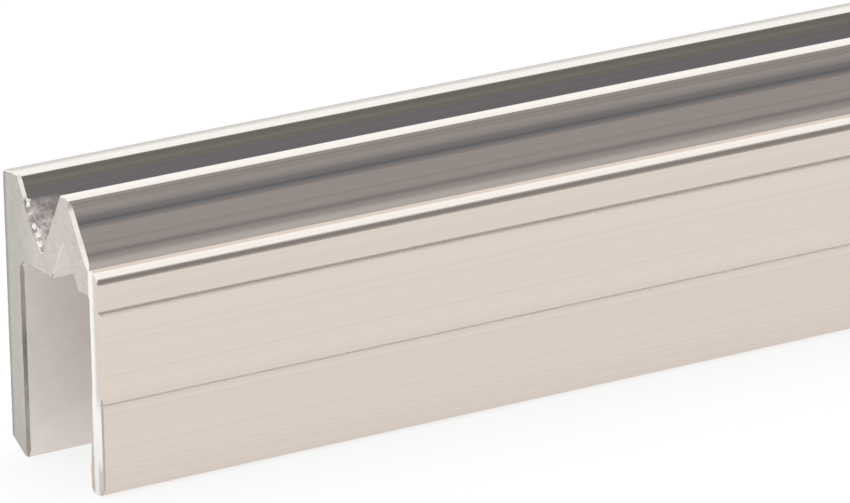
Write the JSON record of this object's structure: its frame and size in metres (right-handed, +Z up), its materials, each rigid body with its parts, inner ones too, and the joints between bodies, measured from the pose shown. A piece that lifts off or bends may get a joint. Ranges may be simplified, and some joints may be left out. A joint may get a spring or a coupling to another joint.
{
  "type": "extrusion profile",
  "caption": "Straight length of hybrid edge extrusion with a V tongue-and-groove seam along its top and a deep channel below that takes a board edge",
  "frame": {"origin": "middle of the footprint, level with the feet of the two walls", "axes": "+X along the stock, -Y out of the front face, +Y out of the back face, +Z up out of the tongue and groove"},
  "size_m": [1, 0.014, 0.0224],
  "materials": {
    "mill_aluminium": "mill finish with fine lengthwise die lines, sawn ends"
  },
  "bodies": {
    "root": {"extrusion_profile": "mill_aluminium"}
  },
  "joints": []
}
